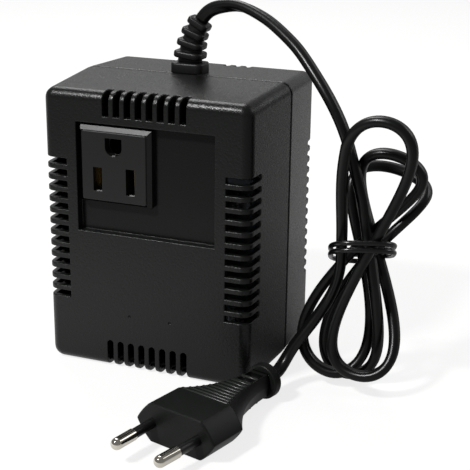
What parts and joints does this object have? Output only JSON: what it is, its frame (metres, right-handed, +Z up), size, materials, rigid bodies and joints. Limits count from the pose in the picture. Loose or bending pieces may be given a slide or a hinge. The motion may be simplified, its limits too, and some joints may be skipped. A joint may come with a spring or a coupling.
{
  "type": "travel voltage converter",
  "caption": "Step-down transformer in a vented black box with a three-pin socket in front, a ribbed strain relief on top and a tied flat cord that ends in a slim plug with round pins.",
  "frame": {"origin": "middle of the case's underside, on the surface that it stands on", "axes": "+Z up, -Y the way the socket faces, +X to the right as seen from the socket's side, where the cord hangs"},
  "size_m": [0.1348, 0.1345, 0.1311],
  "materials": {
    "case_abs": "satin, fine moulded grain",
    "socket_resin": "satin",
    "inner_plastic": "satin",
    "screw_steel": "zinc plated",
    "contact_brass": "stamped",
    "core_steel": "varnished sheet edges",
    "bobbin_nylon": "moulded",
    "winding_copper": "enamelled wire",
    "layer_film": "smooth",
    "tape_yellow": "smooth",
    "tinned_metal": "tinned",
    "sleeve_fibre": "woven",
    "lead_brown": "smooth",
    "lead_blue": "smooth",
    "lead_black": "smooth",
    "lead_white": "smooth",
    "relief_pvc": "satin",
    "cord_pvc": "semi-gloss",
    "tie_pvc": "semi-gloss",
    "plug_pvc": "satin",
    "pin_nickel": "nickel plated",
    "sleeve_nylon": "satin"
  },
  "bodies": {
    "converter": {"front_shell": "case_abs", "rear_shell": "case_abs", "case_screws": "screw_steel", "socket_block": "socket_resin", "socket_screws": "screw_steel", "socket_cover": "inner_plastic", "cover_screws": "screw_steel", "live_contact": "contact_brass", "neutral_contact": "contact_brass", "earth_contact": "contact_brass", "core_e_stack": "core_steel", "core_i_stack": "core_steel", "core_screws": "screw_steel", "core_washers": "screw_steel", "bobbin": "bobbin_nylon", "common_winding": "winding_copper", "layer_paper": "layer_film", "series_winding": "winding_copper", "winding_tape": "tape_yellow", "terminal_pins": "tinned_metal", "thermal_fuse": "tinned_metal", "fuse_sleeve": "sleeve_fibre", "lead_live_in": "lead_brown", "lead_fuse_link": "lead_brown", "lead_neutral_in": "lead_blue", "lead_live_out": "lead_black", "lead_neutral_out": "lead_white", "strain_relief": "relief_pvc", "cord_inlet": "cord_pvc", "cord_clamp": "inner_plastic", "clamp_screws": "screw_steel", "cord_arc": "cord_pvc", "cord_hank": "cord_pvc", "cord_tail": "cord_pvc", "cord_tie": "tie_pvc", "plug_body": "plug_pvc", "plug_pins": "pin_nickel", "pin_sleeves": "sleeve_nylon"},
    "live_spring": {"live_leaf": "contact_brass"},
    "neutral_spring": {"neutral_leaf": "contact_brass"}
  },
  "joints": [
    {"name": "live_leaf_bend", "type": "hinge", "parent": "converter", "child": "live_spring", "pos_m": [-0.01615, -0.0156, 0.0711], "axis": [0, 0, 1], "range_deg": [0, 5], "stiffness_Nm_per_rad": 0.4},
    {"name": "neutral_leaf_bend", "type": "hinge", "parent": "converter", "child": "neutral_spring", "pos_m": [-0.00725, -0.0156, 0.0711], "axis": [0, 0, -1], "range_deg": [0, 5], "stiffness_Nm_per_rad": 0.4}
  ]
}
